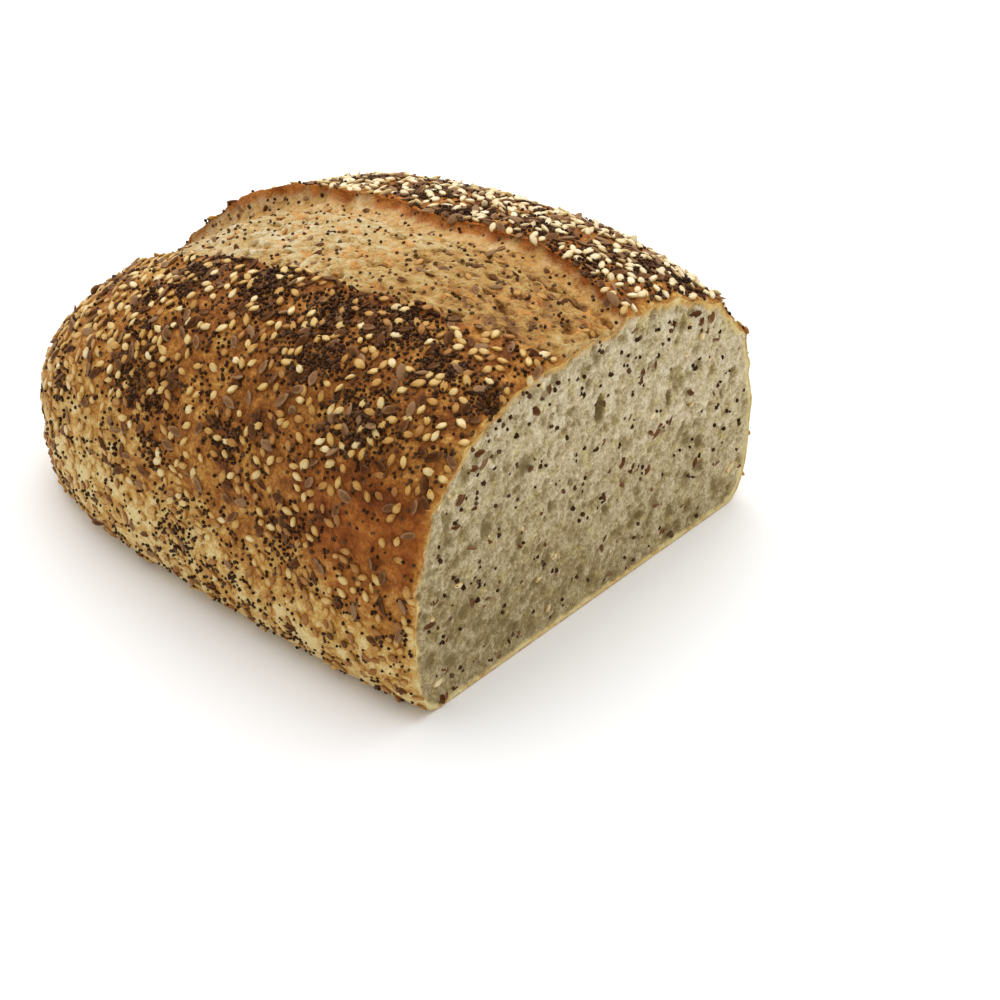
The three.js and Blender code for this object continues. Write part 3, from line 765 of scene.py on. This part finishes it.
def seedsInFace(kind, rng):  # seeds and bits of them that show in the cut
    mesh, count, wide = loafCrumb.data, kind["inFace"], crumb["across"] + 1
    points = readPoints(mesh)[:wide * (crumb["up"] + 1)]
    hollow, rim = (readField(mesh, name)[:len(points)] for name in ("hollow", "rim"))
    allowed = (hollow < cutSeeds["hollowMost"]) & (rim < kind["rimMost"])
    picked = rng.choice(np.flatnonzero(allowed), count, replace=False)
    step = rng.integers(-cutSeeds["beside"], cutSeeds["beside"] + 1, (2, count))
    beside = np.clip(np.roll(picked, 1) + step[0] + wide * step[1], 0, len(points) - 1)
    paired = allowed[beside] & (rng.uniform(0, 1, count) < kind["paired"])
    place = points[np.where(paired, beside, picked)]
    place[:, 0] -= rng.uniform(0, kind["faceSunk"], count)
    axes = seedAxes(np.tile((1.0, 0, 0), (count, 1)), rng, kind["faceTilt"])
    size = seedSizes(kind, count, rng, cutSeeds["vary"])
    return place, axes, size * rng.uniform(*kind["faceSize"], (count, 1))


def partsOfCrust(spots):  # how far each spot belongs to each part of the crust
    x, y, z = spots["centre"].T
    g = ground
    top = smoothStep(z / (loaf["belt"] + sectionSize(x - middle)[1]), *g["top"])
    bareEnd = smoothStep(x, *g["endAlong"]) * smoothStep(z, *g["endFrom"])
    bareEnd = bareEnd * (1 - smoothStep(z, *g["endTo"])) * smoothStep(-y, *g["endNear"])
    bare = spots["bare"] * smoothStep(-x, *g["rimBack"])  # the back of the ear's rim has none
    bare *= smoothStep(noiseAt(spots["centre"], g["rimGrain"], 8.3), *g["rimFrom"])
    onCrust = np.where(spots["onBand"], 0, smoothStep(z, *g["foot"]) * smoothStep(cutAt - x, *g["edge"]))
    return dict(top=top, low=1 - smoothStep(z, *g["low"]), farTop=smoothStep(y, *g["farTop"]) * top,
                bareEnd=bareEnd, ahead=smoothStep(x, *g["ahead"]), bare=bare, onCrust=onCrust * (1 - bare),
                behind=smoothStep(-x, *g["behind"]) * smoothStep(-y, *g["behindNear"]))


def howMany(kind, parts):  # seeds to the square millimetre
    return sum((kind[name] * parts[name] for name in ("top", "farTop", "low")), kind["each"])


def thinOut(kind, parts, density):
    return density * (1 - kind["bareEnd"] * parts["bareEnd"]) * (1 + kind["behind"] * parts["behind"])


def clumpsOf(kind, centre):
    return np.clip(1 + noiseSum(centre, [kind["clump"]]), *kind["clumpRange"])


def sow(kind, spots, onCrust, onBand, rng, taken=()):  # place, normal and whether in the band, then the spot
    place, normal, which = scatter(spots, np.where(spots["onBand"], onBand, onCrust), rng)
    kept = keepApart(place, kind["gap"], taken)
    return (place[kept], normal[kept], spots["onBand"][which[kept]]), which[kept]


def sowSeeds():
    spots = crustSpots()
    parts = partsOfCrust(spots)
    centre, onCrust, free = spots["centre"], parts["onCrust"], 1 - parts["bare"]

    rng = np.random.default_rng(flax["draw"])
    density = thinOut(flax, parts, onCrust * clumpsOf(flax, centre) * howMany(flax, parts))
    inBand = (flax["band"] + flax["bandAhead"] * parts["ahead"]) * free
    flaxSown, _ = sow(flax, spots, density, inBand, rng)

    rng = np.random.default_rng(sesame["draw"])
    density = thinOut(sesame, parts, onCrust * clumpsOf(sesame, centre) * howMany(sesame, parts))
    inBand = sesame["band"] * (1 - spots["onWall"])
    sesameSown, _ = sow(sesame, spots, density, inBand, rng, flaxSown[0])

    rng = np.random.default_rng(poppy["draw"])
    drift = np.zeros(len(centre))
    for x, y, z, radius in poppyDrifts:
        drift = np.maximum(drift, np.exp(-np.sum((centre - (x, y, z)) ** 2, axis=1) / radius ** 2))
    high = poppy["driftLow"] + poppy["driftHigh"] * smoothStep(centre[:, 2], *poppy["driftSpan"])
    drift *= high * (1 - poppy["driftFar"] * parts["farTop"])  # thinner low on the sides
    clump = smoothStep(noiseSum(centre, poppy["clumps"]), *poppy["clumpFrom"])
    density = (poppy["evenly"] + poppy["clumped"] * clump) * howMany(poppy, parts) + poppy["drift"] * drift
    density = thinOut(poppy, parts, onCrust * density)
    inBand = (poppy["band"] + poppy["bandClump"] * clump) * free
    poppySown, which = sow(poppy, spots, density, inBand, rng)
    heaped = drift[which] + poppy["heapClump"] * clump[which] > poppy["heapFrom"]

    density = onCrust * (lump["each"] + lump["low"] * parts["low"] + lump["bareEnd"] * parts["bareEnd"])
    lumps = scatter(spots, density, rng)[0]
    lumps = lumps[keepApart(lumps, lump["gap"], np.concatenate([sesameSown[0], flaxSown[0]]))]
    return sesameSown, flaxSown, poppySown + (heaped,), lumps


def plumpCrust(places, how):
    mesh = loafCrust.data
    points, onSide = readPoints(mesh), readField(mesh, "zone") == sideZone
    close = bell(nearestTo(places, points)[1], 0, how["reach"]) * onSide
    lift = how["rise"] * close * smoothStep(cutAt - points[:, 0], *ground["swellEdge"])
    lift = lift * smoothStep(points[:, 2], *ground["swellFoot"])
    writePoints(mesh, points + smoothNormals * lift[:, None])
    # darker round the larger seeds, browning with painted shade where skin meets seed; paler over closed-over
    # seeds
    bake = readField(mesh, "bake") + how["darkening"] * (close - how["even"]) * onSide
    writeField(mesh, "bake", np.clip(bake, 0, 1))


def settle(place, normal, size, sunk):
    return place + normal * (size[:, 2:] * (0.5 - sunk)[:, None])


def lowDown(place, high):  # 1 low on the sides, 0 from high up
    return 1 - smoothStep(place[:, 2], ground["lowFrom"], high)


def farShoulder(place):  # 1 high on the far side, where the larger seeds are paler, partly with painted light
    return smoothStep(place[:, 1], *ground["shoulder"]) * smoothStep(place[:, 2], *ground["shoulderUp"])


def placeFlax(place, normal, inBand):
    k = flax
    rng = np.random.default_rng(k["draw"] + 1)
    size = seedSizes(k, len(place), rng, k["vary"]) * np.where(inBand, k["bandSize"], 1)[:, None]
    axes = seedAxes(normal, rng, k["tilt"])
    sunk = k["sunk"] + k["sunkLow"] * lowDown(place, ground["lowTo"]) + k["sunkBand"] * inBand
    at = settle(place, normal, size, sunk)
    inFace = seedsInFace(k, rng)
    for i, spot in enumerate(flaxPieces):
        inFace[0][i] = (cutAt - k["pieceDepth"],) + spot
    # paler high on the far side: a painted sheen from the light behind
    tone = rng.uniform(0, 1, len(at)) + k["paintedSheenFar"] * farShoulder(place)
    faceTone = rng.uniform(*k["faceTone"], k["inFace"])
    return joinSeeds("flaxSeeds", modelFlax(), (at, axes, size, tone), inFace + (faceTone,)), at


def placeSesame(place, normal, inBand):
    k = sesame
    rng = np.random.default_rng(k["draw"] + 1)
    size = seedSizes(k, len(place), rng, k["vary"])
    low, far = lowDown(place, ground["lowTo"]), farShoulder(place)
    axes = seedAxes(normal, rng, (k["tilt"] + k["tiltFar"] * far)[:, None])
    sunk = k["sunk"] + k["sunkLow"] * low * rng.uniform(k["sunkLeast"], 1, len(size))
    at = settle(place, normal, size, sunk - k["sunkFar"] * far + k["sunkBand"] * inBand)
    toast = (k["toast"] + k["toastMore"] * rng.beta(*k["toastSpread"], len(size)))
    # paler high on the far side: partly less toasted, partly painted light from behind
    toast *= 1 - k["paleAndLitFar"] * far
    toast *= 1 - k["toastBack"] * smoothStep(-place[:, 0], *k["backSpan"])  # paler towards the round end
    toast += k["toastRed"] * np.clip(blushAt(place), 0, 1) + k["toastLow"] * low
    toast = np.where(inBand, k["toastBand"], toast)
    inFace = seedsInFace(k, rng)
    faceTone = rng.uniform(*k["faceTone"], k["inFace"])
    return joinSeeds("sesameSeeds", modelSesame(), (at, axes, size, toast), inFace + (faceTone,)), at


def placePoppy(place, normal, inBand, heaped, larger):  # between the larger seeds, some of them on others
    k = poppy
    rng = np.random.default_rng(k["draw"] + 1)
    clear = nearestTo(larger, place)[1] > k["clear"]
    place, normal, inBand, heaped = place[clear], normal[clear], inBand[clear], heaped[clear]
    size = seedSizes(k, len(place), rng, k["vary"]) * np.where(inBand, k["bandSize"], 1)[:, None]
    axes = seedAxes(normal, rng, k["tilt"])
    sunk = k["sunk"] + k["sunkBand"] * inBand + k["sunkLow"] * lowDown(place, ground["poppyLowTo"])
    at = settle(place, normal, size, sunk + rng.uniform(*k["sunkVary"], len(size)))
    at += normal * (heaped * rng.uniform(*k["heap"], len(size)).clip(0))[:, None]
    inFace = seedsInFace(k, rng)
    tone = rng.uniform(0, 1, len(at)) + k["toneBand"] * inBand
    faceTone = rng.uniform(*k["faceTone"], k["inFace"])
    return joinSeeds("poppySeeds", modelPoppy(), (at, axes, size, tone), inFace + (faceTone,)), at


sesameSown, flaxSown, poppySown, closedOver = sowSeeds()
plumpCrust(np.concatenate([sesameSown[0], flaxSown[0]]), swelling)
plumpCrust(closedOver, lump)
flaxSeeds, flaxAt = placeFlax(*flaxSown)
sesameSeeds, sesameAt = placeSesame(*sesameSown)
poppySeeds, poppyAt = placePoppy(*poppySown, np.concatenate([sesameAt, flaxAt]))
print("seeds:", len(sesameAt), "sesame,", len(flaxAt), "flax,", len(poppyAt), "poppy on the crust")


# materials, colours as 0 to 255 on screen
def paint(red, green, blue):
    shares = [c / 255 for c in (red, green, blue)]
    return [s / 12.92 if s < 0.04 else ((s + 0.055) / 1.055) ** 2.4 for s in shares] + [1]


def newFinish(piece, name):
    finish = bpy.data.materials.new(name)
    finish.use_nodes = True
    piece.data.materials.clear()
    piece.data.materials.append(finish)
    return finish.node_tree, finish.node_tree.nodes["Principled BSDF"].inputs


def setGloss(shader, roughness, specular):
    shader["Roughness"].default_value = roughness
    shader["Specular IOR Level"].default_value = specular


def plug(tree, value, socket):
    if isinstance(value, bpy.types.NodeSocket):
        tree.links.new(value, socket)
    else:
        socket.default_value = value


def fieldNode(tree, name):
    node = tree.nodes.new("ShaderNodeAttribute")
    node.attribute_name = name
    return node.outputs["Fac"]


def placeNode(tree):
    return tree.nodes.new("ShaderNodeTexCoord").outputs["Object"]


def noiseNode(tree, grain, detail=2.0, roughness=0.5, give="Fac"):  # grain in mm
    node = tree.nodes.new("ShaderNodeTexNoise")
    node.inputs["Scale"].default_value = 1 / (grain * mm)
    node.inputs["Detail"].default_value = detail
    node.inputs["Roughness"].default_value = roughness
    plug(tree, placeNode(tree), node.inputs["Vector"])
    return node.outputs[give]


def wallsNode(tree, grain, bend):  # distance from the walls between small bubbles, the walls bent
    shift = tree.nodes.new("ShaderNodeVectorMath")
    shift.operation = "MULTIPLY_ADD"
    plug(tree, noiseNode(tree, grain * 1.6, give="Color"), shift.inputs[0])
    shift.inputs[1].default_value = (bend * mm,) * 3
    plug(tree, placeNode(tree), shift.inputs[2])
    node = tree.nodes.new("ShaderNodeTexVoronoi")
    node.feature = "DISTANCE_TO_EDGE"
    node.inputs["Scale"].default_value = 1 / (grain * mm)
    plug(tree, shift.outputs[0], node.inputs["Vector"])
    return node.outputs["Distance"]


def mathNode(tree, kind, a, b, c=None):
    node = tree.nodes.new("ShaderNodeMath")
    node.operation = kind
    for value, socket in zip((a, b, c), node.inputs):
        if value is not None:
            plug(tree, value, socket)
    return node.outputs[0]


def scaleAdd(tree, value, scale, more):  # value times scale, plus more
    return mathNode(tree, "MULTIPLY_ADD", value, scale, more)


def swing(tree, value, noiseValue, amount, rest=0.5):  # value moved up or down by the noise
    return scaleAdd(tree, mathNode(tree, "SUBTRACT", noiseValue, rest), amount, value)


def ridgeNode(tree, grain, sharp):  # 1 along winding ridges, falling to 0 between them
    wave = noiseNode(tree, grain, detail=3.0, roughness=0.6)
    off = mathNode(tree, "ABSOLUTE", mathNode(tree, "SUBTRACT", wave, 0.5), 0.0)
    return mathNode(tree, "MAXIMUM", scaleAdd(tree, off, -sharp, 1.0), 0.0)


def rampNode(tree, value, stops):
    node = tree.nodes.new("ShaderNodeValToRGB")
    band = node.color_ramp
    while len(band.elements) < len(stops):
        band.elements.new(0.5)
    for element, (place, colour) in zip(band.elements, stops):
        element.position = place
        element.color = paint(*colour)
    plug(tree, value, node.inputs["Fac"])
    return node.outputs["Color"]


def mixNode(tree, share, a, b):
    node = tree.nodes.new("ShaderNodeMix")
    node.data_type = "RGBA"
    node.clamp_factor = True
    plug(tree, share, node.inputs["Factor"])
    plug(tree, a, node.inputs[6])  # the colour sockets
    plug(tree, b, node.inputs[7])
    return node.outputs[2]


def bumpNode(tree, shader, value, depth, strength):  # depth in mm
    node = tree.nodes.new("ShaderNodeBump")
    node.inputs["Strength"].default_value = strength
    node.inputs["Distance"].default_value = depth * mm
    plug(tree, value, node.inputs["Height"])
    plug(tree, node.outputs["Normal"], shader["Normal"])


crustColours = [(0.0, (228, 205, 146)), (0.18, (209, 169, 96)), (0.38, (181, 125, 56)), (0.56, (150, 92, 37)),
                (0.76, (112, 63, 24)), (1.0, (75, 42, 17))]
blushColours = [(0.0, (198, 130, 56)), (0.4, (162, 90, 33)), (0.7, (128, 65, 22)), (1.0, (90, 45, 18))]
bandColours = [(0.0, (213, 199, 168)), (0.25, (196, 172, 122)), (0.5, (182, 147, 84)), (0.75, (166, 120, 54)),
               (1.0, (122, 80, 36))]
patchColours = [(0.0, (216, 162, 86)), (0.5, (200, 135, 58)), (1.0, (156, 94, 38))]


def finishCrust():
    tree, shader = newFinish(loafCrust, "bakedCrust")
    coarse = noiseNode(tree, 5, detail=3)
    mid = noiseNode(tree, 2, detail=3, roughness=0.6)
    fine = noiseNode(tree, 0.7, detail=2, roughness=0.6)
    torn = fieldNode(tree, "score")  # 1 in the band and on the wall under the ear
    slow = swing(tree, fieldNode(tree, "bake"), coarse, 0.55)
    bake = swing(tree, swing(tree, slow, mid, 0.75), fine, 0.6)
    ridges = ridgeNode(tree, 3.4, 8.0)  # pale ridges between golden hollows
    bandBake = scaleAdd(tree, ridges, -0.2, swing(tree, slow, mid, 0.6))
    hollows = scaleAdd(tree, noiseNode(tree, 1.5, detail=1.0), 5.0, -2.8)  # small and brown
    bandBake = scaleAdd(tree, mathNode(tree, "MAXIMUM", hollows, 0.0), 0.45, bandBake)
    band = mixNode(tree, fieldNode(tree, "patch"), rampNode(tree, bandBake, bandColours),
                   rampNode(tree, bandBake, patchColours))
    skin = mixNode(tree, torn, rampNode(tree, bake, crustColours), band)
    colour = mixNode(tree, fieldNode(tree, "blush"), skin, rampNode(tree, bake, blushColours))
    plug(tree, colour, shader["Base Color"])
    plug(tree, scaleAdd(tree, mid, 0.3, 0.4), shader["Roughness"])
    plug(tree, scaleAdd(tree, torn, 0.14, 0.08), shader["Specular IOR Level"])
    rough = mathNode(tree, "ADD", mid, fine)
    # the band has ridges in place of the fine grit
    ridged = mathNode(tree, "SUBTRACT", mathNode(tree, "MULTIPLY", ridges, 0.65), fine)
    bumpNode(tree, shader, scaleAdd(tree, torn, ridged, rough), 0.5, 1.0)


crumbColours = [(0.0, (226, 213, 182)), (0.3, (197, 180, 143)), (0.65, (157, 138, 98)), (1.0, (129, 110, 71))]
thinColours = [(0.0, (226, 213, 170)), (0.3, (199, 182, 128)), (0.65, (159, 140, 88)), (1.0, (129, 109, 64))]
toastColours = [(0.0, (228, 210, 150)), (0.3, (218, 180, 104)), (0.65, (196, 142, 66)), (1.0, (150, 94, 40))]


def finishCrumb():
    tree, shader = newFinish(loafCrumb, "openCrumb")
    # the shading of the holes and the painted shade low down darken the crumb
    pore = mathNode(tree, "ADD", fieldNode(tree, "hollow"), fieldNode(tree, "paintedShade"))
    pore = scaleAdd(tree, pore, 0.8, 0.12)
    for grain, amount in ((8, 0.3), (3.2, 0.75), (1.3, 0.9), (0.5, 0.7)):
        pore = swing(tree, pore, noiseNode(tree, grain, detail=2, roughness=0.6), amount)
    walls = wallsNode(tree, 0.95, 1.1)
    pore = swing(tree, pore, walls, 0.6, 0.12)
    thin = scaleAdd(tree, noiseNode(tree, 4, detail=2, roughness=0.6), 5.0, -2.6)  # yellower, thin walled
    colour = mixNode(tree, thin, rampNode(tree, pore, crumbColours), rampNode(tree, pore, thinColours))
    rim = rampNode(tree, fieldNode(tree, "toast"), toastColours)
    plug(tree, mixNode(tree, fieldNode(tree, "rim"), colour, rim), shader["Base Color"])
    setGloss(shader, 0.85, 0.15)
    shader["Subsurface Weight"].default_value = 0.2
    shader["Subsurface Radius"].default_value = (1.0, 0.75, 0.45)
    shader["Subsurface Scale"].default_value = 0.7 * mm
    rough = swing(tree, noiseNode(tree, 0.5, detail=3, roughness=0.65), walls, -1.2, 0.12)
    bumpNode(tree, shader, rough, 0.3, 0.6)


sesameColours = [(0.0, (236, 222, 188)), (0.35, (211, 180, 114)), (0.65, (190, 143, 68)),
                 (1.0, (150, 97, 41))]
flaxColours = [(0.0, (68, 38, 17)), (0.4, (98, 61, 34)), (0.75, (120, 83, 52)), (1.0, (146, 111, 78))]
poppyColours = [(0.0, (47, 26, 12)), (0.6, (66, 43, 27)), (1.0, (102, 76, 54))]


def finishSesame():
    tree, shader = newFinish(sesameSeeds, "sesameHull")
    tone = scaleAdd(tree, fieldNode(tree, "rim"), 0.25, fieldNode(tree, "tone"))
    tone = swing(tree, tone, noiseNode(tree, 1.1), 0.3)
    plug(tree, rampNode(tree, tone, sesameColours), shader["Base Color"])
    setGloss(shader, 0.45, 0.25)
    bumpNode(tree, shader, noiseNode(tree, 0.4), 0.08, 0.5)


def finishFlax():
    tree, shader = newFinish(flaxSeeds, "flaxHull")
    tone = swing(tree, fieldNode(tree, "tone"), noiseNode(tree, 0.9), 0.6)
    edge = mathNode(tree, "POWER", fieldNode(tree, "rim"), 4.0)  # a paler edge
    plug(tree, rampNode(tree, scaleAdd(tree, edge, 0.35, tone), flaxColours), shader["Base Color"])
    setGloss(shader, 0.45, 0.03)
    bumpNode(tree, shader, noiseNode(tree, 0.5), 0.08, 0.6)


def finishPoppy():
    tree, shader = newFinish(poppySeeds, "poppyHull")
    tone = swing(tree, fieldNode(tree, "tone"), noiseNode(tree, 0.6), 0.5)
    plug(tree, rampNode(tree, tone, poppyColours), shader["Base Color"])
    setGloss(shader, 0.6, 0.06)
    bumpNode(tree, shader, noiseNode(tree, 0.25), 0.08, 0.8)


finishCrust()
finishCrumb()
finishSesame()
finishFlax()
finishPoppy()
for piece in (loafCrust, loafCrumb, sesameSeeds, flaxSeeds, poppySeeds):
    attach(piece, "root")
    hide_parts("loaf")
print("materials and frame links made")


# studio: pale floor, soft light from above and behind, camera as in the photograph
studio = dict(floorSize=6, floorDrop=0.2, floorColour=(250, 250, 250), floorRough=0.9, world=0.64,
              keyAt=(-0.35, 0.45, 1.4), keySize=2.4, keyPower=33)
camera = dict(location=(0.41326, -0.41338, 0.41023), azimuth=41.52, elevation=35.47, lens=100.8, nearest=0.01)


def setStudio():
    bpy.ops.mesh.primitive_plane_add(size=studio["floorSize"], location=(0, 0, -studio["floorDrop"] * mm))
    floor = bpy.context.object
    floor.name = "floor"
    _, shader = newFinish(floor, "paleFloor")
    shader["Base Color"].default_value = paint(*studio["floorColour"])
    shader["Roughness"].default_value = studio["floorRough"]
    world = bpy.data.worlds.new("studio")
    world.use_nodes = True
    background = world.node_tree.nodes["Background"].inputs
    background["Color"].default_value = (1, 1, 1, 1)
    background["Strength"].default_value = studio["world"]
    bpy.context.scene.world = world
    bpy.ops.object.light_add(type="AREA", location=studio["keyAt"])
    key = bpy.context.object
    key.name = "keyLight"
    key.data.size = studio["keySize"]
    key.data.energy = studio["keyPower"]
    key.rotation_euler = (-key.location).to_track_quat("-Z", "Y").to_euler()
    turn = (math.radians(90 - camera["elevation"]), 0, math.radians(camera["azimuth"]))
    bpy.ops.object.camera_add(location=camera["location"], rotation=turn)
    lens = bpy.context.object
    lens.data.lens = camera["lens"]
    lens.data.clip_start = camera["nearest"]
    bpy.context.scene.camera = lens
    bpy.context.scene.view_settings.view_transform = "Standard"


setStudio()
print("studio set")
